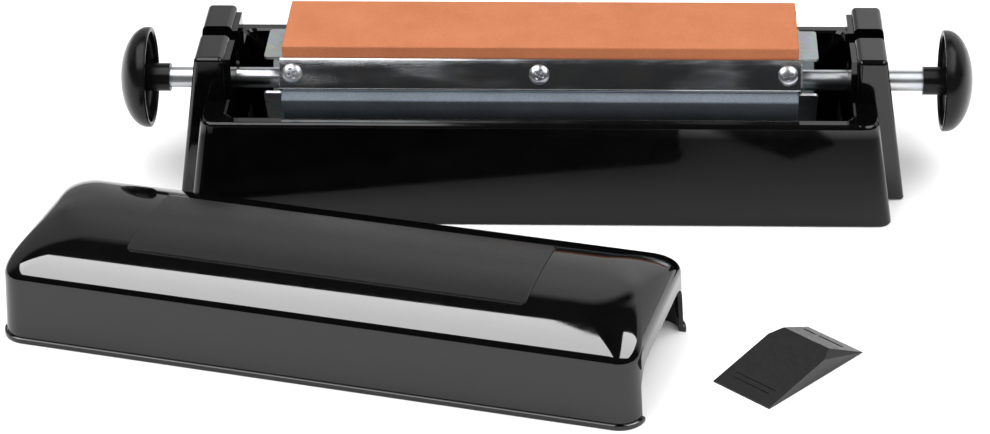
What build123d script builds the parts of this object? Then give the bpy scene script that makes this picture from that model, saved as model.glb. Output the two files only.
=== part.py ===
from build123d import *
import math
import os

# Three-stone rotary sharpening station: an oil reservoir with a slotted upright at each end,
# a three-sided steel holder that turns on two shafts, a clamping knob on each shaft, a loose
# cover and a wedge that sets the honing angle. Millimetres, +X along the stones, +Z up.
# The origin is on the bench under the middle of the base. The cover and the wedge lie in front.

# ---- driving dimensions ----
AXIS_Z = 58.5             # shaft centre above the bench
RIM_Z = 62.2              # top of the reservoir's rim
SKIRT_Z = 0.8             # bottom edge of the skirt, which the feet hold off the bench
WALL = 2.5                # moulded wall thickness
CLEARANCE = 0.05          # radial running clearance

# reservoir
RIM_X, RIM_Y = 190.5, 64.5            # half-size of the rim, outside
BOTTOM_X, BOTTOM_Y = 199.7, 68.5      # half-size of the skirt's bottom edge
SKIRT_CORNER_R = 8.0
RIM_EDGE_R = 2.4
CAVITY_X, CAVITY_Y = 177.0, 56.5      # half-size of the oil cavity at the rim
FLOOR_X, FLOOR_Y = 172.0, 51.5        # half-size of the oil cavity at its floor
CAVITY_CORNER_R = 7.0
FLOOR_Z = 6.5
CAVITY_LIP = 1.2                      # chamfer round the top of the cavity
SOLID_RIM = 9.0                       # depth below the rim where the two skins are one
CORNER_RIB_W = 2.4                    # diagonal rib on the long walls, in each corner
CORNER_RIB_L = 40.0
CORNER_RIB_IN, CORNER_RIB_DROP = 14.0, 16.0  # its middle, from the cavity's end and the rim
CORNER_RIB_Y = 51.0

# uprights
UPRIGHT_TOP_Z = 88.5
UPRIGHT_IN_X = 178.9                  # inner face
UPRIGHT_OUT_X = 195.6                 # outer face at the top, which leans out to the skirt
UPRIGHT_LEAN = 0.15                   # outward lean, per millimetre of height
UPRIGHT_Y = 36.3                      # half-depth
UPRIGHT_EDGE_R = 3.0
SADDLE_HALF_W = 8.8                   # solid web round the shaft slot
SADDLE_Z = 44.0
GUIDE_RIB_X = 175.8                   # inner face of the rib beside each prong
GUIDE_RIB_Y = 31.0
GUIDE_RIB_TOP_Z = 85.5
HUB_SEAT_X = 199.2                    # flat that a tightened knob bears on
HUB_SEAT_R = 9.0

# feet, each a rubber cup pressed on a post
FOOT_X, FOOT_Y = 186.0, 52.0
FOOT_R, FOOT_H, FOOT_EDGE = 7.0, 3.6, 0.4
POST_R, POST_Z = 4.5, 1.8

# stones and their holder, in the section across the axis
STONE_L, STONE_W, STONE_T = 292.1, 60.0, 12.7
STONE_EDGE = 0.5
BED_R = 22.3                          # axis to the back of a stone
SHEET = 1.5
TRAY_HALF_W = 22.5
TRAY_HALF_L = 158.0
BEND_R = 2.2
FLANGE_W = 15.0
LAP_GAP = 0.05
END_PLATE_X = 147.2                   # inner face of an end plate
STRIP_R = 42.4                        # axis to the outer face of a clamp strip
STRIP_HALF_W = 9.6
STRIP_DEPTH = 2.15
STRIP_BEND_R = 1.9
SCREW_SPACING = 140.0
SCREW_R, SCREW_HEAD_R, SCREW_HEAD_H = 3.0, 5.7, 2.7
SCREW_HEAD_EDGE_R = 1.6
SCREW_L = 20.8
RECESS_L, RECESS_W, RECESS_DEPTH = 5.4, 1.1, 1.3
RECESS_TURN = 30
HOLE_R = 3.3
NUT_FLAT_R, NUT_H = 5.0, 5.0

# shafts and knobs
SHAFT_R = 6.0
SHAFT_END_CHAMFER = 1.0
THREAD_R = 5.0
SLEEVE_R = 10.0
SLEEVE_L = 44.8
SLEEVE_BORE_L = 30.8
SHOULDER_X = 137.0                    # where the smooth shaft steps down to its thread
THREAD_END_X = 103.0
KNOB_R = 29.15
KNOB_BAND = 2.5
KNOB_CROWN = 15.0
KNOB_SHELL = 3.0
KNOB_EDGE_R = 1.2
HUB_R = 8.15
HUB_L = 11.0                          # hub, proud of the knob's open face
HUB_X = {"left": 215.4, "right": 219.0}  # inner end of each hub, with the knobs backed off
SHAFT_GRIP = 24.0                     # length of shaft inside a knob

# cover, lying in front of the base
COVER_L, COVER_W, COVER_H = 353.0, 113.0, 53.0
COVER_WALL = 2.4
CROWN_RISE = 16.2                     # height of the elliptical shoulder round the top
CROWN_SIDE, CROWN_END = 50.0, 19.0    # its width along the long walls and over each end
COVER_CORNER_R = 14.5
COVER_DRAFT = 1.5                     # lean of each wall over its whole height
BEAD_OUT, BEAD_H = 1.5, 3.0
ARCH_HALF_W, ARCH_H, ARCH_R = 45.0, 30.5, 12.0
PANEL_L, PANEL_W, PANEL_RISE, PANEL_R = 220.0, 60.0, 0.7, 3.0
COVER_PLACE = (-100.7, -183.9)
COVER_TURN = -13.9

# wedge-shaped angle guide, lying in front of the base
WEDGE_L, WEDGE_W, WEDGE_H = 76.2, 38.1, 12.0
WEDGE_RIDGE = 51.6                    # toe to ridge
WEDGE_TOE_H = 0.8
WEDGE_RIDGE_W = 31.0
WEDGE_WAIST = 43.5                    # toe to where the sides start to narrow
WEDGE_PLACE = (136.0, -216.8)
WEDGE_TURN = 47.5
POCKET_W, POCKET_DEPTH = 2.6, 1.2
POCKETS = ((10.5, 9.0), (-4.0, 17.0))  # across the wedge: middle and length of each
POCKET_DROP = 17.5                    # ridge to the pockets, down the back slope
GROOVE_W, GROOVE_DEPTH = 0.6, 0.4
GROOVES = ((8.0, 24.0), (11.5, 27.0))  # up the front slope: distance from the toe and length

SIDES = {"left": -1, "right": 1}
os.makedirs("parts", exist_ok=True)


def save(sub_part, label):
    """Label a finished sub-part and write it as one STEP file."""
    sub_part.part.label = label
    export_step(sub_part.part, f"parts/{label}.step")


def section_plane(x, turn=0.0):
    """Plane across the axis at x: local Y points outward, turned about +X from straight up."""
    angle = math.radians(turn)
    return Plane(
        origin=(x, 0, AXIS_Z),
        x_dir=(0, math.cos(angle), math.sin(angle)),
        z_dir=(1, 0, 0),
    )


def outward_plane(radius, turn):
    """Plane that faces away from the axis: local X runs along the stones."""
    angle = math.radians(turn)
    out_y, out_z = -math.sin(angle), math.cos(angle)
    return Plane(
        origin=(0, radius * out_y, AXIS_Z + radius * out_z),
        x_dir=(1, 0, 0),
        z_dir=(0, out_y, out_z),
    )


# ---- reservoir base: skirt, oil cavity and uprights, all one moulding ----
def frustum(lower, upper, corner_r):
    """Block with rounded corners that tapers between two (half X, half Y, Z) levels."""
    with BuildPart() as block:
        for half_x, half_y, z in (lower, upper):
            with BuildSketch(Plane.XY.offset(z)):
                RectangleRounded(2 * half_x, 2 * half_y, corner_r)
        loft()
    return block.part


def upright_block(side, inset, y_from, y_to, z_to):
    """Upright, or with an inset its hollow, between two depths."""
    foot_x = UPRIGHT_OUT_X + UPRIGHT_LEAN * (UPRIGHT_TOP_Z - SKIRT_Z) - inset
    top_x = UPRIGHT_OUT_X + UPRIGHT_LEAN * (UPRIGHT_TOP_Z - z_to) - inset
    with BuildPart() as block:
        with BuildSketch(Plane.XZ.offset(-y_to)):
            Polygon(
                (side * foot_x, SKIRT_Z),
                (side * top_x, z_to),
                (side * (UPRIGHT_IN_X + inset), z_to),
                (side * (UPRIGHT_IN_X + inset), SKIRT_Z),
                align=None,
            )
        extrude(amount=y_to - y_from)
    return block.part


def above_skirt(edge):
    """True for any edge but those round the foot of an upright."""
    return edge.center().Z > SKIRT_Z + 1


def rounded_upright(side):
    """Whole upright with its outer edges and top rounded."""
    with BuildPart() as rounded:
        add(upright_block(side, 0.0, -UPRIGHT_Y, UPRIGHT_Y, UPRIGHT_TOP_Z))
        fillet(rounded.edges().filter_by(above_skirt), UPRIGHT_EDGE_R)
    return rounded.part


rim_level = (RIM_X, RIM_Y, RIM_Z)
bottom_level = (BOTTOM_X, BOTTOM_Y, SKIRT_Z)
cavity_level = (CAVITY_X, CAVITY_Y, RIM_Z)
floor_level = (FLOOR_X, FLOOR_Y, FLOOR_Z)
lean_x = (BOTTOM_X - RIM_X) / (RIM_Z - SKIRT_Z)
lean_y = (BOTTOM_Y - RIM_Y) / (RIM_Z - SKIRT_Z)

# the space between the two skins, open underneath
with BuildPart() as underside_void:
    void_top = (
        RIM_X + lean_x * SOLID_RIM - WALL,
        RIM_Y + lean_y * SOLID_RIM - WALL,
        RIM_Z - SOLID_RIM,
    )
    void_bottom = (BOTTOM_X - WALL, BOTTOM_Y - WALL, SKIRT_Z)
    add(frustum(void_bottom, void_top, SKIRT_CORNER_R - WALL))
    inner_skin_bottom = (FLOOR_X + WALL, FLOOR_Y + WALL, FLOOR_Z - WALL)
    inner_skin_top = (CAVITY_X + WALL, CAVITY_Y + WALL, RIM_Z)
    add(frustum(inner_skin_bottom, inner_skin_top, CAVITY_CORNER_R + WALL), mode=Mode.SUBTRACT)
    with Locations(*((side * UPRIGHT_OUT_X, 0, SADDLE_Z) for side in SIDES.values())):
        Box(
            4 * SADDLE_HALF_W,
            2 * SADDLE_HALF_W,
            RIM_Z,
            align=(Align.CENTER, Align.CENTER, Align.MIN),
            mode=Mode.SUBTRACT,
        )

uprights = {side: rounded_upright(side) for side in SIDES.values()}
prong_hollow_top = UPRIGHT_TOP_Z - WALL
prong_hollow_y = UPRIGHT_Y - WALL

with BuildPart() as reservoir_base:
    add(frustum(bottom_level, rim_level, SKIRT_CORNER_R))
    fillet(reservoir_base.edges().group_by(Axis.Z)[-1], RIM_EDGE_R)
    for side in SIDES.values():
        add(uprights[side])
    add(underside_void.part, mode=Mode.SUBTRACT)
    for side in SIDES.values():
        for y_from, y_to, z_to in (
            (-prong_hollow_y, -SADDLE_HALF_W, prong_hollow_top),
            (SADDLE_HALF_W, prong_hollow_y, prong_hollow_top),
            (WALL - SADDLE_HALF_W, SADDLE_HALF_W - WALL, SADDLE_Z),
        ):
            add(upright_block(side, WALL, y_from, y_to, z_to), mode=Mode.SUBTRACT)
    add(frustum(floor_level, cavity_level, CAVITY_CORNER_R), mode=Mode.SUBTRACT)
    lip_bottom = (CAVITY_X, CAVITY_Y, RIM_Z - CAVITY_LIP)
    lip_top = (CAVITY_X + CAVITY_LIP, CAVITY_Y + CAVITY_LIP, RIM_Z)
    add(frustum(lip_bottom, lip_top, CAVITY_CORNER_R), mode=Mode.SUBTRACT)
    # ribs beside the prongs
    with Locations(*((side * GUIDE_RIB_X, 0, RIM_Z - SOLID_RIM) for side in SIDES.values())):
        Box(
            2 * (UPRIGHT_IN_X - GUIDE_RIB_X),
            2 * GUIDE_RIB_Y,
            GUIDE_RIB_TOP_Z - RIM_Z + SOLID_RIM,
            align=(Align.CENTER, Align.CENTER, Align.MIN),
        )
    # their inner halves stand in the cavity, so they are trimmed back to the ribs' inner faces
    with Locations((0, 0, FLOOR_Z + WALL)):
        Box(
            2 * GUIDE_RIB_X,
            2 * GUIDE_RIB_Y,
            UPRIGHT_TOP_Z,
            align=(Align.CENTER, Align.CENTER, Align.MIN),
            mode=Mode.SUBTRACT,
        )
    # diagonal ribs on the long walls, one in each corner of the cavity
    for side_x in SIDES.values():
        for side_y in (-1, 1):
            with BuildSketch(Plane.XZ.offset(-side_y * (CAVITY_Y + WALL / 2))):
                with Locations((side_x * (CAVITY_X - CORNER_RIB_IN), RIM_Z - CORNER_RIB_DROP)):
                    Rectangle(CORNER_RIB_L, CORNER_RIB_W, rotation=side_x * 45)
            extrude(amount=side_y * (CAVITY_Y + WALL / 2 - CORNER_RIB_Y))
    # slot for each shaft, round at the bottom, and the flat that a knob's hub bears on
    for side in SIDES.values():
        with BuildSketch(section_plane(side * (CAVITY_X - CORNER_RIB_W))):
            Circle(SHAFT_R + CLEARANCE)
            with Locations((0, AXIS_Z / 2)):
                Rectangle(2 * (SHAFT_R + CLEARANCE), AXIS_Z)
        extrude(amount=side * AXIS_Z, mode=Mode.SUBTRACT)
        with BuildSketch(section_plane(side * HUB_SEAT_X)):
            Circle(HUB_SEAT_R)
        extrude(amount=side * HUB_SEAT_R, mode=Mode.SUBTRACT)
    # posts that carry the feet
    with Locations(*((x, y, POST_Z) for x in (-FOOT_X, FOOT_X) for y in (-FOOT_Y, FOOT_Y))):
        Cylinder(POST_R, RIM_Z - SOLID_RIM, align=(Align.CENTER, Align.CENTER, Align.MIN))
save(reservoir_base, "reservoir_base")

for side_name, side in SIDES.items():
    for depth_name, side_y in (("front", -1), ("rear", 1)):
        with BuildPart() as foot:
            with BuildSketch():
                with Locations((side * FOOT_X, side_y * FOOT_Y)):
                    Circle(FOOT_R)
            extrude(amount=FOOT_H)
            with BuildSketch(Plane.XY.offset(POST_Z)):
                with Locations((side * FOOT_X, side_y * FOOT_Y)):
                    Circle(POST_R)
            extrude(amount=FOOT_H, mode=Mode.SUBTRACT)
            chamfer(foot.edges().group_by(Axis.Z)[0], FOOT_EDGE)
        save(foot, f"foot_{depth_name}_{side_name}")

# ---- stone holder: three trays, end plates, clamp strips and their fasteners ----
FACE_TURNS = {"top": 0, "front": 120, "rear": 240}       # a stone faces each way
RIDGE_TURNS = {"front": 60, "bottom": 180, "rear": 300}  # a clamp strip closes each ridge
COS30, SIN30 = math.cos(math.radians(30)), 0.5
flange_r = BED_R * SIN30 + TRAY_HALF_W * COS30           # axis to a ridge flange's outer face
end_x = END_PLATE_X - LAP_GAP


def bend_x(ridge_radius):
    """Where a tray's mid-surface meets a flange whose outer face is at a radius."""
    return (ridge_radius - SHEET / 2 - (BED_R - SHEET / 2) * SIN30) / COS30


def screw_pins(turn, radius, inner, outer):
    """Row of three round pins through one ridge, between two distances from the axis."""
    with BuildPart() as pins:
        with BuildSketch(outward_plane(inner, turn)):
            with GridLocations(SCREW_SPACING, 0, 3, 1):
                Circle(radius)
        extrude(amount=outer - inner)
    return pins.part


def tray(turn):
    """Pressed tray: a flat bed, a flange on one ridge and a lapped lip on the other."""
    bed_mid = BED_R - SHEET / 2
    flange_x = bend_x(flange_r)
    lip_x = bend_x(flange_r - SHEET - LAP_GAP)
    with BuildPart() as sheet:
        with BuildSketch(section_plane(-end_x, turn)):
            with BuildLine():
                FilletPolyline(
                    (-flange_x - FLANGE_W * SIN30, bed_mid - FLANGE_W * COS30),
                    (-flange_x, bed_mid),
                    (lip_x, bed_mid),
                    (lip_x + FLANGE_W * SIN30, bed_mid - FLANGE_W * COS30),
                    radius=BEND_R,
                )
            trace(line_width=SHEET)
        extrude(amount=2 * end_x)
        # the bed alone runs on past the end plates, as a tab at each end
        with BuildSketch(outward_plane(BED_R, turn)):
            RectangleRounded(2 * TRAY_HALF_L, 2 * (lip_x - BEND_R), BEND_R)
        extrude(amount=-SHEET)
        for ridge_turn in (turn - 60, turn + 60):
            add(screw_pins(ridge_turn, HOLE_R, BED_R, STRIP_R), mode=Mode.SUBTRACT)
    return sheet


def end_plate(side):
    """Plate between the trays, with a corner cut off at each ridge and a hole for the shaft."""
    with BuildPart() as plate:
        with BuildSketch(section_plane(side * END_PLATE_X)):
            RegularPolygon(BED_R - SHEET - LAP_GAP, 3, major_radius=False, rotation=-90)
            RegularPolygon(flange_r, 3, major_radius=False, rotation=90, mode=Mode.INTERSECT)
            Circle(SHAFT_R + CLEARANCE, mode=Mode.SUBTRACT)
        extrude(amount=side * SHEET)
    return plate


def stone(turn):
    """Bench stone, its edges just broken."""
    with BuildPart() as block:
        with BuildSketch(outward_plane(BED_R, turn)):
            Rectangle(STONE_L, STONE_W)
        extrude(amount=STONE_T)
        chamfer(block.edges(), STONE_EDGE)
    return block


def clamp_strip(turn):
    """Strip with turned-down edges that wedges two stones apart."""
    with BuildPart() as strip:
        with BuildSketch(section_plane(-end_x, turn)):
            with BuildLine():
                edge_x = STRIP_HALF_W - SHEET / 2
                FilletPolyline(
                    (-edge_x, STRIP_R - STRIP_DEPTH),
                    (-edge_x, STRIP_R - SHEET / 2),
                    (edge_x, STRIP_R - SHEET / 2),
                    (edge_x, STRIP_R - STRIP_DEPTH),
                    radius=STRIP_BEND_R - SHEET / 2,
                )
            trace(line_width=SHEET)
        extrude(amount=2 * end_x)
        add(screw_pins(turn, HOLE_R, BED_R, STRIP_R), mode=Mode.SUBTRACT)
    return strip


def strip_screws(turn):
    """Three cross-recessed pan-head screws."""
    outward = Axis((0, 0, AXIS_Z), outward_plane(0, turn).z_dir)
    with BuildPart() as screws:
        add(screw_pins(turn, SCREW_HEAD_R, STRIP_R, STRIP_R + SCREW_HEAD_H))
        fillet(screws.edges().group_by(outward)[-1], SCREW_HEAD_EDGE_R)
        with BuildSketch(outward_plane(STRIP_R + SCREW_HEAD_H, turn)):
            with GridLocations(SCREW_SPACING, 0, 3, 1):
                Rectangle(RECESS_L, RECESS_W, rotation=RECESS_TURN)
                Rectangle(RECESS_W, RECESS_L, rotation=RECESS_TURN)
        extrude(amount=-RECESS_DEPTH, mode=Mode.SUBTRACT)
        add(screw_pins(turn, SCREW_R, STRIP_R - SCREW_L, STRIP_R))
    return screws


def strip_nuts(turn):
    """Three hexagon nuts inside the holder, against the lapped flanges."""
    with BuildPart() as nuts:
        with BuildSketch(outward_plane(flange_r - 2 * SHEET - LAP_GAP, turn)):
            with GridLocations(SCREW_SPACING, 0, 3, 1):
                RegularPolygon(NUT_FLAT_R, 6, major_radius=False)
                Circle(SCREW_R, mode=Mode.SUBTRACT)
        extrude(amount=-NUT_H)
    return nuts


STONE_NAMES = {"top": "fine_stone", "front": "coarse_stone", "rear": "medium_stone"}
for face_name, turn in FACE_TURNS.items():
    save(tray(turn), f"tray_{face_name}")
    save(stone(turn), STONE_NAMES[face_name])
for ridge_name, turn in RIDGE_TURNS.items():
    save(clamp_strip(turn), f"clamp_strip_{ridge_name}")
    save(strip_screws(turn), f"screws_{ridge_name}")
    save(strip_nuts(turn), f"nuts_{ridge_name}")


# ---- shafts and knobs ----
def shaft_sleeve(side):
    """Guide tube welded inside an end plate: a plain bore, then a shorter threaded one."""
    with BuildPart() as sleeve:
        with BuildSketch(section_plane(side * END_PLATE_X)):
            Circle(SLEEVE_R)
            Circle(THREAD_R + CLEARANCE, mode=Mode.SUBTRACT)
        extrude(amount=-side * SLEEVE_L)
        with BuildSketch(section_plane(side * END_PLATE_X)):
            Circle(SHAFT_R + CLEARANCE)
        extrude(amount=-side * SLEEVE_BORE_L, mode=Mode.SUBTRACT)
    return sleeve


def shaft(side, hub_x):
    """Smooth shaft with a smaller threaded end inside the holder."""
    with BuildPart() as rod:
        with BuildSketch(section_plane(side * THREAD_END_X)):
            Circle(THREAD_R)
        extrude(amount=side * (SHOULDER_X - THREAD_END_X))
        with BuildSketch(section_plane(side * SHOULDER_X)):
            Circle(SHAFT_R)
        extrude(amount=side * (hub_x + SHAFT_GRIP - SHOULDER_X))
        chamfer(rod.edges().group_by(Axis.X)[0 if side < 0 else -1], SHAFT_END_CHAMFER)
    return rod


def knob(side, hub_x):
    """Hollow mushroom knob: a thin crown, and a hub that reaches in towards the upright."""
    hub_end = Plane(origin=(side * hub_x, 0, AXIS_Z), x_dir=(side, 0, 0), z_dir=(0, -side, 0))
    corner = (Align.MIN, Align.MIN)
    crown_x = HUB_L + KNOB_BAND
    with BuildPart() as turned:
        with BuildSketch(hub_end):
            for inset, mode in ((0.0, Mode.ADD), (KNOB_SHELL, Mode.SUBTRACT)):
                with BuildLine():
                    Polyline(
                        (crown_x + KNOB_CROWN - inset, 0),
                        (HUB_L, 0),
                        (HUB_L, KNOB_R - inset),
                        (crown_x, KNOB_R - inset),
                    )
                    EllipticalCenterArc(
                        (crown_x, 0), KNOB_CROWN - inset, KNOB_R - inset, 0, arc_size=90
                    )
                make_face(mode=mode)
            Rectangle(crown_x + KNOB_CROWN - KNOB_SHELL / 2, HUB_R, align=corner)
            Rectangle(
                SHAFT_GRIP + CLEARANCE, SHAFT_R + CLEARANCE, align=corner, mode=Mode.SUBTRACT
            )
        revolve(axis=Axis((0, 0, AXIS_Z), (1, 0, 0)))
        rim_edges = turned.edges().filter_by(GeomType.CIRCLE)
        rim_edges = rim_edges.filter_by(lambda edge: edge.radius > KNOB_R / 2)
        fillet(rim_edges.group_by(Axis.X)[-1 if side < 0 else 0], KNOB_EDGE_R)
    return turned


for side_name, side in SIDES.items():
    save(end_plate(side), f"end_plate_{side_name}")
    save(shaft_sleeve(side), f"shaft_sleeve_{side_name}")
    save(shaft(side, HUB_X[side_name]), f"shaft_{side_name}")
    save(knob(side, HUB_X[side_name]), f"knob_{side_name}")

# ---- cover ----
cover_plane = Plane((*COVER_PLACE, 0), x_dir=Vector(1, 0, 0).rotate(Axis.Z, COVER_TURN))
cover_section = Plane(cover_plane.origin, x_dir=cover_plane.y_dir, z_dir=cover_plane.x_dir)
cover_profile = Plane(cover_plane.origin, x_dir=cover_plane.x_dir, z_dir=-cover_plane.y_dir)


def crown_prism(plane, half_width, shoulder_w, length, top):
    """Prism that rises straight and then over an elliptical shoulder to its flat middle."""
    shoulder_z = top - CROWN_RISE
    with BuildPart() as prism:
        with BuildSketch(plane):
            with BuildLine():
                for side, start in ((1, 0), (-1, 90)):
                    EllipticalCenterArc(
                        (side * (half_width - shoulder_w), shoulder_z),
                        shoulder_w,
                        CROWN_RISE,
                        start,
                        arc_size=90,
                    )
                Line((half_width - shoulder_w, top), (shoulder_w - half_width, top))
                Polyline(
                    (-half_width, shoulder_z), (-half_width, 0), (half_width, 0), (half_width, shoulder_z)
                )
            make_face()
        extrude(amount=length, both=True)
    return prism.part


def cover_block(inset):
    """Drafted block with rounded corners and a crowned top, inset on the sides and top."""
    top = COVER_H - inset
    half_l, half_w = COVER_L / 2 - inset, COVER_W / 2 - inset
    with BuildPart() as block:
        for z, lean in ((0, 0), (top, COVER_DRAFT)):
            with BuildSketch(cover_plane.offset(z)):
                RectangleRounded(2 * (half_l - lean), 2 * (half_w - lean), COVER_CORNER_R - inset)
        loft()
        side_prism = crown_prism(cover_section, half_w, CROWN_SIDE, half_l, top)
        end_prism = crown_prism(cover_profile, half_l, CROWN_END, half_w, top)
        add(side_prism, mode=Mode.INTERSECT)
        add(end_prism, mode=Mode.INTERSECT)
    return block.part


# raised panel that follows the crown
with BuildPart() as panel:
    with BuildSketch(cover_plane):
        RectangleRounded(PANEL_L, PANEL_W, PANEL_R)
    extrude(amount=COVER_H + PANEL_RISE)
    add(cover_block(-PANEL_RISE), mode=Mode.INTERSECT)

with BuildPart() as cover:
    add(cover_block(0.0))
    with BuildSketch(cover_plane):
        RectangleRounded(
            COVER_L + 2 * BEAD_OUT, COVER_W + 2 * BEAD_OUT, COVER_CORNER_R + BEAD_OUT
        )
    extrude(amount=BEAD_H)
    fillet(cover.edges().group_by(Axis.Z)[0], BEAD_OUT / 2)
    add(panel.part)
    add(cover_block(COVER_WALL), mode=Mode.SUBTRACT)
    # arch in each end, which clears the uprights when the cover is on the rim
    with BuildSketch(cover_section) as arch:
        Rectangle(2 * ARCH_HALF_W, 2 * ARCH_H)
        fillet(arch.vertices(), ARCH_R)
    extrude(amount=COVER_L, both=True, mode=Mode.SUBTRACT)
save(cover, "cover")

# ---- angle guide ----
wedge_base = Plane((*WEDGE_PLACE, 0), x_dir=Vector(1, 0, 0).rotate(Axis.Z, WEDGE_TURN))
toe_x, heel_x = -WEDGE_L / 2, WEDGE_L / 2
ridge_x = toe_x + WEDGE_RIDGE
front_slope = (WEDGE_H - WEDGE_TOE_H) / WEDGE_RIDGE
back_slope = WEDGE_H / (heel_x - ridge_x)
waist = (toe_x + WEDGE_WAIST, WEDGE_TOE_H + front_slope * WEDGE_WAIST)


def wedge_point(x, y, z):
    """Point given in the wedge's own frame: toe to heel, across, up."""
    return wedge_base.from_local_coords(Vector(x, y, z))


def slope_plane(x, z, slope):
    """Plane on a slope of the wedge: local X across it, facing up and out."""
    facing = wedge_point(-slope, 0, 1) - wedge_point(0, 0, 0)
    return Plane(wedge_point(x, 0, z), x_dir=wedge_base.y_dir, z_dir=facing)


with BuildPart() as angle_guide:
    with BuildSketch(
        Plane(wedge_base.origin, x_dir=wedge_base.x_dir, z_dir=-wedge_base.y_dir)
    ):
        Polygon(
            (toe_x, 0), (heel_x, 0), (ridge_x, WEDGE_H), (toe_x, WEDGE_TOE_H), align=None
        )
    extrude(amount=WEDGE_W / 2, both=True)
    # each side is cut back from the waist to the ridge, so that the fingers hold it
    for side in SIDES.values():
        waist_corner = wedge_point(waist[0], side * WEDGE_W / 2, waist[1])
        ridge_end = wedge_point(ridge_x, side * WEDGE_RIDGE_W / 2, WEDGE_H)
        heel_corner = wedge_point(heel_x, side * WEDGE_W / 2, 0)
        outward = (ridge_end - waist_corner).cross(heel_corner - waist_corner) * side
        split(bisect_by=Plane(waist_corner, z_dir=outward), keep=Keep.BOTTOM)
    # shallow pockets across the back slope
    back_drop = POCKET_DROP / math.hypot(1, back_slope)
    with BuildSketch(
        slope_plane(ridge_x + back_drop, WEDGE_H - back_slope * back_drop, -back_slope)
    ):
        for middle, length in POCKETS:
            with Locations((middle, 0)):
                SlotOverall(length, POCKET_W)
    extrude(amount=-POCKET_DEPTH, mode=Mode.SUBTRACT)
    # two plain grooves near the toe
    for rise, length in GROOVES:
        groove_x = toe_x + rise
        groove_z = WEDGE_TOE_H + front_slope * rise
        with BuildSketch(slope_plane(groove_x, groove_z, front_slope)):
            Rectangle(length, GROOVE_W)
        extrude(amount=-GROOVE_DEPTH, mode=Mode.SUBTRACT)
save(angle_guide, "angle_guide")
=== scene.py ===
"""Looks of the three-stone sharpening station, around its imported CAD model. Lengths are metres."""
import math

import bmesh
import bpy
from mathutils import Matrix, Vector


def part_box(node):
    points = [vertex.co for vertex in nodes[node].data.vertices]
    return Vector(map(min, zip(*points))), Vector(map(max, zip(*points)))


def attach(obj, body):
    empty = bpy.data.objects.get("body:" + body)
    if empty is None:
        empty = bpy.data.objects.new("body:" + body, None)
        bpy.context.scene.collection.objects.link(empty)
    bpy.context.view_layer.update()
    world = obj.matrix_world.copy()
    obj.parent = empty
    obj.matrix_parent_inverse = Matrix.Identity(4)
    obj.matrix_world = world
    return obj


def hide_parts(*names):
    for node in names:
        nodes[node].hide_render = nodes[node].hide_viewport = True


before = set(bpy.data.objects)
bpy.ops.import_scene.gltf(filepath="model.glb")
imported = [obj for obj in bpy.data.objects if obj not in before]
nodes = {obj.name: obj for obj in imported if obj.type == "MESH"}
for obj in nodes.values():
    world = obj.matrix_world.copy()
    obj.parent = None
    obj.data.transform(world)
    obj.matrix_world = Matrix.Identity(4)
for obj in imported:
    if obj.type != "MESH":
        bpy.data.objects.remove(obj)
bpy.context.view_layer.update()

MM = 0.001
CREASE = 32.0                             # degrees between faces that still shade as one
NOISE_LOW, NOISE_HIGH = 0.3, 0.7          # the span that most of a noise falls in


# ---- materials ----
LONG_WALL_Y = 61                          # across, where the outside of the base's walls begins


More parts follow.
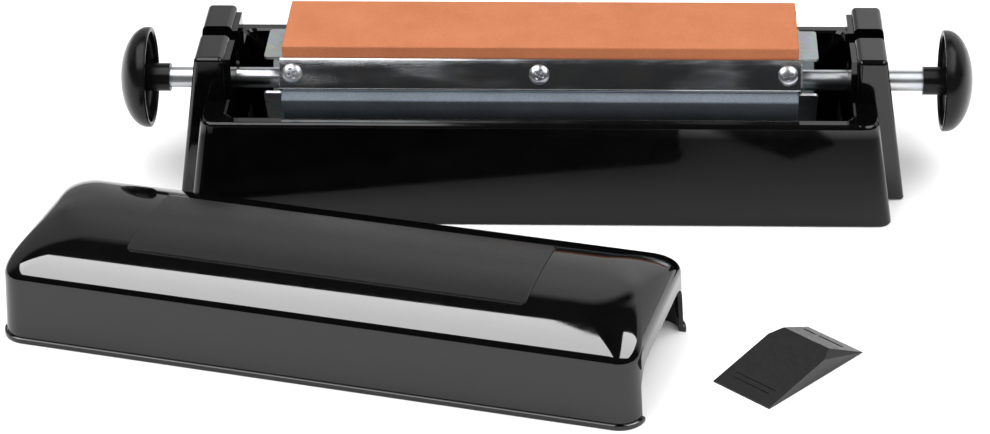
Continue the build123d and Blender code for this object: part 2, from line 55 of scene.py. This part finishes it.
class Finish:
    """A procedural material, with helpers whose sizes are millimetres on the real surface."""

    def __init__(self, name, **shader):
        self.material = bpy.data.materials.new(name)
        self.material.use_nodes = True
        self.tree = self.material.node_tree
        self.shader = self.tree.nodes["Principled BSDF"]
        for socket, value in shader.items():
            self.shader.inputs[socket.replace("_", " ")].default_value = value
        self.place = self.tree.nodes.new("ShaderNodeTexCoord").outputs["Object"]

    def link(self, source, target):
        """Feeds a socket from another socket or from a plain value."""
        if isinstance(source, bpy.types.NodeSocket):
            self.tree.links.new(source, target)
        else:
            target.default_value = source

    def noise(self, size, detail=3.0, stretch=(1, 1, 1), rough=0.5):
        """Cloudy noise, its features about size across, drawn out along an axis by stretch."""
        node = self.tree.nodes.new("ShaderNodeTexNoise")
        node.inputs["Scale"].default_value = 1 / (size * MM)
        node.inputs["Detail"].default_value = detail
        node.inputs["Roughness"].default_value = rough
        self.tree.links.new(self.stretched(stretch), node.inputs["Vector"])
        return node.outputs["Fac"]

    def cells(self, size, output="Distance"):
        """Grain: cells about size across."""
        node = self.tree.nodes.new("ShaderNodeTexVoronoi")
        node.inputs["Scale"].default_value = 1 / (size * MM)
        self.tree.links.new(self.place, node.inputs["Vector"])
        return node.outputs[output]

    def stretched(self, stretch):
        """Places on the surface, drawn out along each axis."""
        node = self.tree.nodes.new("ShaderNodeMapping")
        node.inputs["Scale"].default_value = [1 / part for part in stretch]
        self.tree.links.new(self.place, node.inputs["Vector"])
        return node.outputs["Vector"]

    def math(self, operation, first, second):
        """One step of arithmetic on sockets or plain values."""
        node = self.tree.nodes.new("ShaderNodeMath")
        node.operation = operation
        self.link(first, node.inputs[0])
        self.link(second, node.inputs[1])
        return node.outputs[0]

    def distance(self, axis, full):
        """Distance along an axis from the middle of the bench, 1 at full millimetres."""
        split = self.tree.nodes.new("ShaderNodeSeparateXYZ")
        self.tree.links.new(self.place, split.inputs[0])
        return self.math("MULTIPLY", split.outputs[axis], 1 / (full * MM))

    def ramp(self, fac, *stops):
        """Colour ramp from (position, colour or grey) stops."""
        node = self.tree.nodes.new("ShaderNodeValToRGB")
        elements = node.color_ramp.elements
        while len(elements) < len(stops):
            elements.new(0.5)
        for element, (position, colour) in zip(elements, stops):
            element.position = position
            grey = isinstance(colour, (int, float))
            element.color = (colour, colour, colour, 1) if grey else (*colour, 1)
        self.tree.links.new(fac, node.inputs["Fac"])
        return node.outputs["Color"]

    def blend(self, fac, first, second, mode="MIX"):
        """Mix of two colours."""
        node = self.tree.nodes.new("ShaderNodeMix")
        node.data_type, node.blend_type = "RGBA", mode
        self.link(fac, node.inputs[0])
        for colour, target in ((first, node.inputs[6]), (second, node.inputs[7])):
            self.link(colour if isinstance(colour, bpy.types.NodeSocket) else (*colour, 1), target)
        return node.outputs[2]

    def colour(self, source):
        self.link(source, self.shader.inputs["Base Color"])

    def roughness(self, fac, low, high):
        """Roughness that runs from low to high with a noise."""
        node = self.tree.nodes.new("ShaderNodeMapRange")
        self.link(fac, node.inputs["Value"])
        node.inputs["From Min"].default_value = NOISE_LOW
        node.inputs["From Max"].default_value = NOISE_HIGH
        node.inputs["To Min"].default_value = low
        node.inputs["To Max"].default_value = high
        self.link(node.outputs["Result"], self.shader.inputs["Roughness"])

    def relief(self, *layers):
        """Bumps from (height socket, depth in millimetres) layers."""
        normal = None
        for height, depth in layers:
            node = self.tree.nodes.new("ShaderNodeBump")
            node.inputs["Distance"].default_value = depth * MM
            self.link(height, node.inputs["Height"])
            if normal is not None:
                self.link(normal, node.inputs["Normal"])
            normal = node.outputs["Normal"]
        self.link(normal, self.shader.inputs["Normal"])


def moulded_black(name, low, high):
    """Glossy moulded black, very slightly wavy, with a faint orange peel."""
    finish = Finish(name, IOR=1.5)
    finish.colour(finish.ramp(finish.noise(18), (NOISE_LOW, 0.0012), (NOISE_HIGH, 0.0022)))
    finish.roughness(finish.noise(6, detail=6), low, high)
    finish.relief((finish.noise(60, detail=1), 0.06), (finish.noise(1.2, detail=2), 0.0010))
    return finish


def reservoir_plastic():
    """The same black, with painted shade: its reflection weakened by height down the outside of the
    long walls.
    """
    finish = moulded_black("reservoir_black_plastic", 0.05, 0.10)
    # painted shade: weaker reflection by height on the outside of the long walls, standing in for
    # the shaded floor they reflect
    painted_shade_wall_reflection = finish.ramp(
        finish.distance("Z", 100), (0.02, 0.30), (0.30, 0.16), (0.54, 0.08), (0.60, 0.50)
    )
    across = finish.math("ABSOLUTE", finish.distance("Y", 1), 0)
    outside = finish.math("GREATER_THAN", across, LONG_WALL_Y)
    shine = finish.blend(outside, (0.5, 0.5, 0.5), painted_shade_wall_reflection)
    finish.link(shine, finish.shader.inputs["Specular IOR Level"])
    return finish.material


def satin_plastic():
    """Satin moulded black with a fine even grain."""
    finish = Finish("satin_black_plastic", IOR=1.5, Specular_IOR_Level=0.22)
    finish.colour(finish.ramp(finish.noise(8), (0.3, 0.003), (0.7, 0.006)))
    finish.roughness(finish.noise(3, detail=5), 0.20, 0.28)
    finish.relief((finish.noise(0.5, detail=2), 0.008))
    return finish.material


def textured_plastic(name, grey, grain, depth, rough):
    """Matt moulded black with a spark-eroded texture."""
    finish = Finish(name, IOR=1.48)
    speck = finish.noise(grain, detail=3)
    finish.colour(finish.ramp(speck, (0.35, grey * 0.7), (0.65, grey * 1.4)))
    finish.roughness(finish.noise(grain * 4), rough - 0.06, rough + 0.06)
    finish.relief((speck, depth))
    return finish.material


def rubber():
    """Black rubber, matt and slightly dusty."""
    finish = Finish("foot_rubber", IOR=1.45)
    finish.colour(finish.ramp(finish.noise(2, detail=5), (0.3, 0.012), (0.7, 0.030)))
    finish.roughness(finish.noise(1.5), 0.70, 0.85)
    finish.relief((finish.noise(0.4), 0.03))
    return finish.material


def galvanised():
    """Dull zinc-plated sheet with a soft spangle and faint rolling lines."""
    finish = Finish("galvanised_sheet", Metallic=1.0)
    spangle = finish.cells(5, "Color")
    tone = finish.blend(0.25, (0.60, 0.64, 0.66), spangle, "SOFT_LIGHT")
    lines = finish.noise(0.35, detail=4, stretch=(40, 1, 1))
    shade = finish.ramp(lines, (0.3, 0.86), (0.7, 1.0))
    finish.colour(finish.blend(1.0, tone, shade, "MULTIPLY"))
    finish.roughness(finish.noise(4, detail=4), 0.36, 0.50)
    finish.relief((lines, 0.004), (finish.noise(12), 0.05))
    return finish.material


def bright_zinc(name, dents, rough, stain):
    """Bright zinc plate: lightly dented sheet or turned bar, with drawn lines and dull stains."""
    finish = Finish(name, Metallic=1.0)
    tint = finish.ramp(
        finish.noise(14, detail=4),
        (0.30, (0.60, 0.63, 0.68)),
        (0.55, (0.70, 0.72, 0.74)),
        (0.75, (0.76, 0.75, 0.71)),
    )
    lines = finish.noise(0.25, detail=4, stretch=(60, 1, 1))
    shade = finish.ramp(lines, (0.3, 0.88), (0.7, 1.0))
    finish.colour(finish.blend(1.0, tint, shade, "MULTIPLY"))
    dull = finish.ramp(finish.noise(16, detail=6, stretch=(3, 1, 1)), (0.46, 0.0), (0.66, 1.0))
    finish.roughness(finish.blend(0.5, lines, dull), rough, rough + stain)
    finish.relief(
        (finish.noise(26, detail=4, stretch=(2.5, 1, 1)), dents), (lines, 0.0015)
    )
    return finish.material


def abrasive(name, dark, middle, light, grain, glint):
    """Bonded abrasive: fine grains with open pores between, their pits painted darker as shade,
    slightly uneven in colour.
    """
    finish = Finish(name, IOR=1.4, Specular_IOR_Level=glint)
    mottle = finish.ramp(finish.noise(30, detail=4), (0.25, dark), (0.52, middle), (0.80, light))
    speckle = finish.ramp(finish.cells(grain, "Color"), (0.0, 0.80), (1.0, 1.08))
    # painted shade: colour darkened at the pores' centres, where the bump below sinks them
    painted_pore_shade = finish.ramp(finish.cells(grain * 2.3), (0.08, 0.72), (0.22, 1.0))
    tone = finish.blend(1.0, mottle, speckle, "MULTIPLY")
    finish.colour(finish.blend(1.0, tone, painted_pore_shade, "MULTIPLY"))
    finish.roughness(finish.noise(9), 0.82, 0.95)
    finish.relief((finish.noise(grain, detail=3), 0.10), (finish.cells(grain * 2.3), 0.04))
    return finish.material


gloss = moulded_black("gloss_black_plastic", 0.03, 0.07).material
panel_black = textured_plastic(
    "panel_black_plastic", grey=0.006, grain=0.35, depth=0.004, rough=0.34
)
satin = satin_plastic()
zinc_sheet = bright_zinc("bright_zinc_sheet", dents=0.40, rough=0.13, stain=0.14)
zinc_bar = bright_zinc("bright_zinc_bar", dents=0.03, rough=0.28, stain=0.10)
galvanised_sheet = galvanised()
finishes = {
    "reservoir_base": reservoir_plastic(),
    "cover": gloss,
    "knob": satin,
    "angle_guide": textured_plastic(
        "guide_black_plastic", grey=0.005, grain=0.45, depth=0.010, rough=0.38
    ),
    "foot": rubber(),
    "tray": galvanised_sheet,
    "end_plate": galvanised_sheet,
    "clamp_strip": zinc_sheet,
    "screws": zinc_bar,
    "nuts": zinc_bar,
    "shaft": zinc_bar,
    "fine_stone": abrasive(
        "fine_abrasive",
        dark=(0.445, 0.152, 0.066),
        middle=(0.480, 0.168, 0.077),
        light=(0.510, 0.184, 0.087),
        grain=0.35,
        glint=0.25,
    ),
    "medium_stone": abrasive(
        "medium_abrasive",
        dark=(0.095, 0.112, 0.130),
        middle=(0.118, 0.138, 0.160),
        light=(0.140, 0.162, 0.188),
        grain=0.5,
        glint=0.6,
    ),
    "coarse_stone": abrasive(
        "coarse_abrasive",
        dark=(0.105, 0.125, 0.148),
        middle=(0.130, 0.154, 0.182),
        light=(0.155, 0.182, 0.214),
        grain=0.7,
        glint=0.7,
    ),
}


def finish_of(node):
    """The material whose key starts the node's name."""
    return next(material for key, material in finishes.items() if node.startswith(key))


for name, piece in nodes.items():
    piece.data.materials.clear()
    piece.data.materials.append(finish_of(name))
    piece.data.shade_smooth()
    piece.data.set_sharp_from_angle(angle=math.radians(CREASE))


# ---- meshes that stand for a CAD node ----
def solid(name, points, faces, material):
    """Mesh object from points in the frame's own axes, in millimetres."""
    mesh = bpy.data.meshes.new(name)
    mesh.from_pydata([Vector(point) * MM for point in points], [], faces)
    mesh.materials.append(material)
    piece = bpy.data.objects.new(name, mesh)
    bpy.context.scene.collection.objects.link(piece)
    return piece


def soften(piece):
    """Smooth shading with crisp edges, and faces that all point outwards."""
    shape = bmesh.new()
    shape.from_mesh(piece.data)
    bmesh.ops.recalc_face_normals(shape, faces=shape.faces)
    shape.to_mesh(piece.data)
    shape.free()
    piece.data.shade_smooth()
    piece.data.set_sharp_from_angle(angle=math.radians(CREASE))


def stand_for(piece, body, slot, *replaced):
    """Piece rides on a body in place of some CAD nodes. The slot argument is not used."""
    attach(piece, body)
    if replaced:
        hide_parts(*replaced)


def skin(rings, start=0, around=True):
    """Faces that join rings of equal size, whose points are numbered from start."""
    size = len(rings[0])
    steps = size if around else size - 1
    faces = []
    for ring in range(len(rings) - 1):
        first = start + ring * size
        for step in range(steps):
            after = (step + 1) % size
            faces.append((first + step, first + after, first + size + after, first + size + step))
    return faces


def rounded_ring(half_u, half_v, round_u, round_v, z):
    """Ring of a rectangle with elliptical corners, anticlockwise from +u."""
    ring = []
    for quarter, (sign_u, sign_v) in enumerate(((1, 1), (-1, 1), (-1, -1), (1, -1))):
        for step in range(CORNER_STEPS + 1):
            angle = math.radians(90 * (quarter + step / CORNER_STEPS))
            u = sign_u * (half_u - round_u) + round_u * math.cos(angle)
            v = sign_v * (half_v - round_v) + round_v * math.sin(angle)
            ring.append((u, v, z))
    return ring


CORNER_STEPS = 14
CROWN_STEPS = 28

# cover: upright walls, a broad crown across the width and a tighter one over each end
COVER_TURN = -13.9
COVER_HALF_U, COVER_HALF_V = 176.2, 56.2
COVER_ROUND = 13.0
COVER_SKIN = 2.4
CROWN_Z, CROWN_RISE = 36.6, 16.1
CROWN_U, CROWN_V = 19.0, 50.0
CROWN_ROUND = 22.0                        # how much the corners open out up the crown
CROWN_LEFT = 0.98                         # most of the half-width that a corner may take up
WALL_LEAN = 1.4
# (height, how far it stands out) up the bead round the bottom edge
BEAD = (
    (0.0, 1.0), (0.25, 1.35), (0.8, 1.5), (2.3, 1.5), (2.8, 1.3), (3.0, 0.9), (3.1, 0.3), (3.5, 0.0)
)
INSIDE = ((0.0, 0.0), (3.5, 0.0))         # the same for the plain inside
ARCH_HALF_V, ARCH_Z, ARCH_ROUND = 45.0, 30.5, 12.0
PANEL_HALF_U, PANEL_HALF_V, PANEL_ROUND = 110.0, 30.5, 3.0
PANEL_RISE, PANEL_EDGE = 1.0, 0.5
PANEL_STEPS = 40

box_low, box_high = (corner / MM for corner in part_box("cover"))
cover_middle = (box_low + box_high) / 2
cover_frame = Matrix.Translation((cover_middle.x, cover_middle.y, 0)) @ Matrix.Rotation(
    math.radians(COVER_TURN), 4, "Z"
)


def on_cover(points):
    """Points given along, across and up the cover, in the frame's own axes."""
    return [cover_frame @ Vector(point) for point in points]


def cover_rings(inset, bead):
    """Rings up one skin of the cover, from its bottom edge to the top of its crown."""
    half_u, half_v, corner = COVER_HALF_U - inset, COVER_HALF_V - inset, COVER_ROUND - inset
    rings = [
        rounded_ring(half_u + out, half_v + out, corner + out, corner + out, z) for z, out in bead
    ]
    crown_z = CROWN_Z - inset
    for step in range(CROWN_STEPS + 1):
        turn = math.radians(90 * step / CROWN_STEPS)
        bend = 1 - math.cos(turn)
        v = half_v - WALL_LEAN - CROWN_V * bend
        opened = corner + CROWN_ROUND * bend
        rings.append(
            rounded_ring(
                half_u - WALL_LEAN - CROWN_U * bend,
                v,
                opened,
                min(opened, CROWN_LEFT * v),
                crown_z + CROWN_RISE * math.sin(turn),
            )
        )
    return rings


def crown_height(v):
    """Height of the cover's top across its middle."""
    from_wall = COVER_HALF_V - WALL_LEAN - abs(v)
    turn = math.acos(max(0.0, 1 - from_wall / CROWN_V))
    return CROWN_Z + CROWN_RISE * math.sin(turn)


def cut_away(piece, cutter):
    """Takes the cutter's volume out of a piece, for good."""
    cut = piece.modifiers.new("cut", "BOOLEAN")
    cut.object = cutter
    cut.solver = "EXACT"
    shape = piece.evaluated_get(bpy.context.evaluated_depsgraph_get())
    whole = piece.data
    piece.data = bpy.data.meshes.new_from_object(shape)
    piece.modifiers.clear()
    bpy.data.meshes.remove(whole)
    bpy.data.objects.remove(cutter)


def cover_shell():
    """Cover: one closed skin with an arch cut through both ends."""
    outer = cover_rings(0.0, BEAD)
    inner = cover_rings(COVER_SKIN, INSIDE)
    inner_start = len(outer) * len(outer[0])
    size = len(outer[0])
    points = [point for ring in outer + inner for point in ring]
    faces = skin(outer) + skin(inner, inner_start)
    faces.append(tuple(range(inner_start - size, inner_start)))
    faces.append(tuple(range(len(points) - size, len(points))))
    for step in range(size):
        after = (step + 1) % size
        faces.append((step, after, inner_start + after, inner_start + step))
    shell = solid("cover_shell", on_cover(points), faces, gloss)
    soften(shell)
    arch = []
    for end in (-1, 1):
        profile = rounded_ring(ARCH_HALF_V, ARCH_Z, ARCH_ROUND, ARCH_ROUND, 0)
        arch.append([(end * 2 * COVER_HALF_U, v, z) for v, z, _ in profile])
    arch_faces = skin(arch) + [tuple(range(size)), tuple(range(size, 2 * size))]
    cutter = solid("arch", on_cover(arch[0] + arch[1]), arch_faces, gloss)
    soften(cutter)
    cut_away(shell, cutter)
    shell.data.shade_smooth()
    shell.data.set_sharp_from_angle(angle=math.radians(CREASE))
    stand_for(shell, "cover", "gloss_black", "cover")
    return shell


def cover_panel():
    """Raised panel along the top, which follows the crown."""
    rows = []
    for v, drop in panel_rows():
        past = max(0.0, abs(v) - (PANEL_HALF_V - PANEL_ROUND))
        u = PANEL_HALF_U - PANEL_ROUND + math.sqrt(max(0.0, PANEL_ROUND**2 - past**2))
        low = crown_height(v) - PANEL_RISE
        edge = crown_height(v) + PANEL_RISE - PANEL_EDGE
        top = crown_height(v) + PANEL_RISE - drop
        inner_u = u - PANEL_EDGE
        left = [(-u, v, low), (-u, v, edge), (-inner_u, v, top)]
        right = [(inner_u, v, top), (u, v, edge), (u, v, low)]
        rows.append(left + right)
    size = len(rows[0])
    points = [point for row in rows for point in row]
    faces = skin(rows)
    faces += [tuple(range(size)), tuple(range(len(points) - size, len(points)))]
    panel = solid("cover_panel", on_cover(points), faces, panel_black)
    soften(panel)
    stand_for(panel, "cover", "gloss_black")


def panel_rows():
    """(distance across, drop of the top) of each row of the panel, its two edges eased."""
    inside = PANEL_HALF_V - PANEL_EDGE
    yield -PANEL_HALF_V, PANEL_EDGE
    for step in range(PANEL_STEPS + 1):
        yield inside * (2 * step / PANEL_STEPS - 1), 0.0
    yield PANEL_HALF_V, PANEL_EDGE


cover_piece = cover_shell()
cover_panel()

# clamp strips and screws, turned about the axis from straight up
RIDGES = {"front": 60, "bottom": 180, "rear": 300}
STRIP_FACE, STRIP_HALF_W, STRIP_SKIN = 42.4, 9.6, 1.5
STRIP_CROWN = 0.28                        # how far the pressed face drops towards its edges
STRIP_CURVE = 4                           # power that it drops with, so the middle stays flat
STRIP_BEND, BEND_STEPS = 1.9, 8
STRIP_DEPTH = 2.15
STRIP_LENGTHS, FACE_STEPS = 60, 16        # steps along the strip and across its face
HEAD_R, HEAD_H, SHANK_R, SHANK_L = 5.7, 2.7, 3.0, 20.8
HEAD_EDGE, HEAD_RIM = 0.2, 0.6            # eased bottom edge, and height where the dome starts
DOME_FULLNESS, DOME_STEPS, AROUND_STEPS = 0.8, 30, 72
RECESS_REACH, RECESS_HALF_W, RECESS_DEPTH = 2.7, 0.55, 1.3
RECESS_SIDE, RECESS_END = 0.25, 0.4       # widths of the recess's sloping sides and ends
RECESS_TURN, RECESS_TURN_STEP = 25, 37    # degrees, for the first screw and from each to the next
SCREW_XS = (-140.0, 0.0, 140.0)
axis_box_low, axis_box_high = (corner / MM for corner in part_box("shaft_left"))
AXIS_Z = (axis_box_low.z + axis_box_high.z) / 2


def about_axis(points, turn):
    """Points given along, across and out from the axis, turned about it from straight up."""
    spin = Matrix.Translation((0, 0, AXIS_Z)) @ Matrix.Rotation(math.radians(turn), 4, "X")
    return [spin @ Vector(point) for point in points]


def strip_profile():
    """Cross-section of a clamp strip, (across, out), from one lip over the face to the other."""
    outer = []
    corner = STRIP_HALF_W - STRIP_BEND
    bend_out = STRIP_FACE - STRIP_CROWN - STRIP_BEND
    for step in range(BEND_STEPS + 1):
        angle = math.radians(180 - 90 * step / BEND_STEPS)
        across = STRIP_BEND * math.cos(angle) - corner
        outer.append((across, bend_out + STRIP_BEND * math.sin(angle)))
    bend = outer[:]
    for step in range(1, FACE_STEPS):
        across = corner * (2 * step / FACE_STEPS - 1)
        outer.append((across, STRIP_FACE - STRIP_CROWN * (across / corner) ** STRIP_CURVE))
    outer += [(-across, out) for across, out in reversed(bend)]
    lip = STRIP_FACE - STRIP_DEPTH
    inner_half, inner_face = STRIP_HALF_W - STRIP_SKIN, STRIP_FACE - STRIP_SKIN
    inner = [
        (inner_half, lip), (inner_half, inner_face), (-inner_half, inner_face), (-inner_half, lip)
    ]
    return [(-STRIP_HALF_W, lip), *outer, (STRIP_HALF_W, lip), *inner]


def clamp_strip(ridge, turn):
    """Clamp strip with a slightly crowned face."""
    node = f"clamp_strip_{ridge}"
    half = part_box(node)[1].x / MM
    profile = strip_profile()
    rings = []
    for step in range(STRIP_LENGTHS + 1):
        x = half * (2 * step / STRIP_LENGTHS - 1)
        rings.append([(x, across, out) for across, out in profile])
    points = about_axis([point for ring in rings for point in ring], turn)
    size = len(profile)
    faces = skin(rings) + [tuple(range(size)), tuple(range(len(points) - size, len(points)))]
    strip = solid(f"pressed_{node}", points, faces, zinc_sheet)
    soften(strip)
    stand_for(strip, "stone_holder", "bright_zinc", node)


def recess_depth(x, y):
    """Depth of a screw's cross recess at a point of its head."""
    deepest = 0.0
    for along, across in ((x, y), (y, x)):
        past_side = max(0.0, abs(across) - RECESS_HALF_W) / RECESS_SIDE
        past_end = max(0.0, abs(along) - RECESS_REACH) / RECESS_END
        deepest = max(deepest, 1 - past_side - past_end)
    return RECESS_DEPTH * max(0.0, deepest)


def screw_profile():
    """(radius, height above the strip's face) up a screw, from its end to the top of its dome."""
    profile = [(SHANK_R / 2, -SHANK_L), (SHANK_R, -SHANK_L), (SHANK_R, 0.0)]
    profile += [(HEAD_R - HEAD_EDGE, 0.0), (HEAD_R, HEAD_EDGE)]
    for step in range(1, DOME_STEPS):
        angle = math.radians(90 * step / DOME_STEPS)
        radius = HEAD_R * math.cos(angle) ** DOME_FULLNESS
        profile.append((radius, HEAD_RIM + (HEAD_H - HEAD_RIM) * math.sin(angle)))
    return profile


def screw_ring(middle, lean, radius, out):
    """Ring round a screw, sunk where it crosses the recess."""
    ring = []
    for step in range(AROUND_STEPS):
        angle = 2 * math.pi * step / AROUND_STEPS
        x, y = radius * math.cos(angle), radius * math.sin(angle)
        along = x * math.cos(lean) + y * math.sin(lean)
        across = y * math.cos(lean) - x * math.sin(lean)
        depth = recess_depth(along, across) if out > HEAD_RIM else 0.0
        ring.append((middle + x, y, STRIP_FACE + out - depth))
    return ring


def screws(ridge, turn):
    """Three pan-head screws with a domed head and a cross recess."""
    node = f"screws_{ridge}"
    points, faces = [], []
    for number, middle in enumerate(SCREW_XS):
        start = len(points)
        lean = math.radians(RECESS_TURN + RECESS_TURN_STEP * number)
        rings = [screw_ring(middle, lean, radius, out) for radius, out in screw_profile()]
        points += [point for ring in rings for point in ring]
        faces += skin(rings, start)
        faces.append(tuple(range(start, start + AROUND_STEPS)))
        faces.append(tuple(range(len(points) - AROUND_STEPS, len(points))))
    heads = solid(f"pan_head_{node}", about_axis(points, turn), faces, zinc_bar)
    soften(heads)
    stand_for(heads, "stone_holder", "bright_zinc", node)


for ridge, turn in RIDGES.items():
    clamp_strip(ridge, turn)
    screws(ridge, turn)


# ---- floor, lights and camera ----
FLOOR_HALF = 8.0
SOFTBOXES = (("left", -0.75, 1.2), ("right", 0.85, 1.0))  # (side, place along, width)
SOFTBOX_Y, SOFTBOX_Z, SHEEN_Z = -0.35, 1.35, 1.34
SOFTBOX_DEPTH = 1.6
SOFTBOX_BRIGHTNESS, SHEEN_BRIGHTNESS = 3.3, 9.2
DIM_ROOM, PALE_BACKDROP = 0.03, 0.95


def stage_floor():
    """Plain pale table top."""
    finish = Finish("pale_floor", Roughness=0.9)
    finish.colour(finish.ramp(finish.noise(300, detail=2), (0.3, 0.90), (0.7, 0.93)))
    mesh = bpy.data.meshes.new("floor")
    corners = [(-1, -1), (1, -1), (1, 1), (-1, 1)]
    mesh.from_pydata([(x * FLOOR_HALF, y * FLOOR_HALF, 0) for x, y in corners], [], [(0, 1, 2, 3)])
    mesh.materials.append(finish.material)
    floor = bpy.data.objects.new("floor", mesh)
    bpy.context.scene.collection.objects.link(floor)
    return floor


def softbox(name, place, size, brightness, lean=0, lights=True, shines=True, only_on=None):
    """Rectangular area light, turned up by lean degrees from facing down. It lights surfaces,
    shines in them, or both, and can be kept to one piece, on which nothing shades it."""
    lamp = bpy.data.lights.new(name, "AREA")
    lamp.shape, lamp.size, lamp.size_y = "RECTANGLE", *size
    lamp.energy = brightness * math.pi * size[0] * size[1]
    light = bpy.data.objects.new(name, lamp)
    light.location = place
    light.rotation_euler.x = math.radians(lean)
    light.visible_diffuse, light.visible_glossy = lights, shines
    if only_on is not None:
        lit = bpy.data.collections.new(f"{name}_lit")
        lit.objects.link(only_on)
        light.light_linking.receiver_collection = lit
        light.light_linking.blocker_collection = bpy.data.collections.new(f"{name}_blockers")
    bpy.context.scene.collection.objects.link(light)


# (direction, from, to, level at from, level at to): depth, height, and along the object
BACKDROP = (("Y", 0.10, 0.40, 0.0, 1.0), ("Z", 0.66, 0.71, 1.0, 0.0), ("X", -0.24, 0.08, 0.45, 1.0))


def studio_world():
    """Dim room with a pale backdrop behind the object, up to a soft edge."""
    world = bpy.data.worlds.new("studio")
    world.use_nodes = True
    tree = world.node_tree
    direction = tree.nodes.new("ShaderNodeTexCoord").outputs["Generated"]
    split = tree.nodes.new("ShaderNodeSeparateXYZ")
    tree.links.new(direction, split.inputs[0])
    parts = []
    for output, low, high, from_level, to_level in BACKDROP:
        part = tree.nodes.new("ShaderNodeMapRange")
        part.inputs["From Min"].default_value = low
        part.inputs["From Max"].default_value = high
        part.inputs["To Min"].default_value = from_level
        part.inputs["To Max"].default_value = to_level
        tree.links.new(split.outputs[output], part.inputs["Value"])
        parts.append(part.outputs["Result"])
    backdrop = parts[0]
    for part in parts[1:]:
        both = tree.nodes.new("ShaderNodeMath")
        both.operation = "MULTIPLY"
        tree.links.new(backdrop, both.inputs[0])
        tree.links.new(part, both.inputs[1])
        backdrop = both.outputs[0]
    level = tree.nodes.new("ShaderNodeMapRange")
    level.inputs["To Min"].default_value = DIM_ROOM
    level.inputs["To Max"].default_value = PALE_BACKDROP
    level.clamp = False
    tree.links.new(backdrop, level.inputs["Value"])
    tree.links.new(level.outputs["Result"], tree.nodes["Background"].inputs["Strength"])
    tree.nodes["Background"].inputs["Color"].default_value = (1, 1, 1, 1)
    bpy.context.scene.world = world


CAMERA_PLACE = (0.0559, -1.5879, 0.8652)
CAMERA_DOWN, CAMERA_TURN, CAMERA_ROLL = 30.36, 2.92, -1.04  # degrees
LENS, SHIFT = 111.9, (-0.0066, 0.048)


def camera():
    """Camera at the height and distance of a product shot, slightly right of the middle."""
    lens = bpy.data.cameras.new("camera")
    lens.lens, lens.sensor_width = LENS, 36.0
    lens.shift_x, lens.shift_y = SHIFT
    lens.clip_start, lens.clip_end = 0.01, 50.0
    piece = bpy.data.objects.new("camera", lens)
    turn = Matrix.Rotation(math.radians(CAMERA_TURN), 4, "Z")
    tilt = Matrix.Rotation(math.radians(90 - CAMERA_DOWN), 4, "X")
    roll = Matrix.Rotation(math.radians(CAMERA_ROLL), 4, "Z")
    piece.matrix_world = Matrix.Translation(CAMERA_PLACE) @ turn @ tilt @ roll
    bpy.context.scene.collection.objects.link(piece)
    bpy.context.scene.camera = piece


floor = stage_floor()
studio_world()
for side, x, width in SOFTBOXES:
    size = (width, SOFTBOX_DEPTH)
    softbox(f"{side}_softbox", (x, SOFTBOX_Y, SOFTBOX_Z), size, SOFTBOX_BRIGHTNESS)
    softbox(
        f"{side}_sheen",
        (x, SOFTBOX_Y, SHEEN_Z),
        size,
        SHEEN_BRIGHTNESS,
        lights=False,
        only_on=cover_piece,
    )
softbox("ceiling", (0, 0, 2.4), (5.0, 5.0), 0.72, shines=False)
softbox("front_fill", (0.1, -2.0, 0.75), (2.0, 1.0), 2.4, lean=72, shines=False)
softbox("floor_light", (0, 0, 3.0), (8.0, 8.0), 0.30, shines=False, only_on=floor)
camera()
bpy.context.scene.view_settings.view_transform = "Standard"
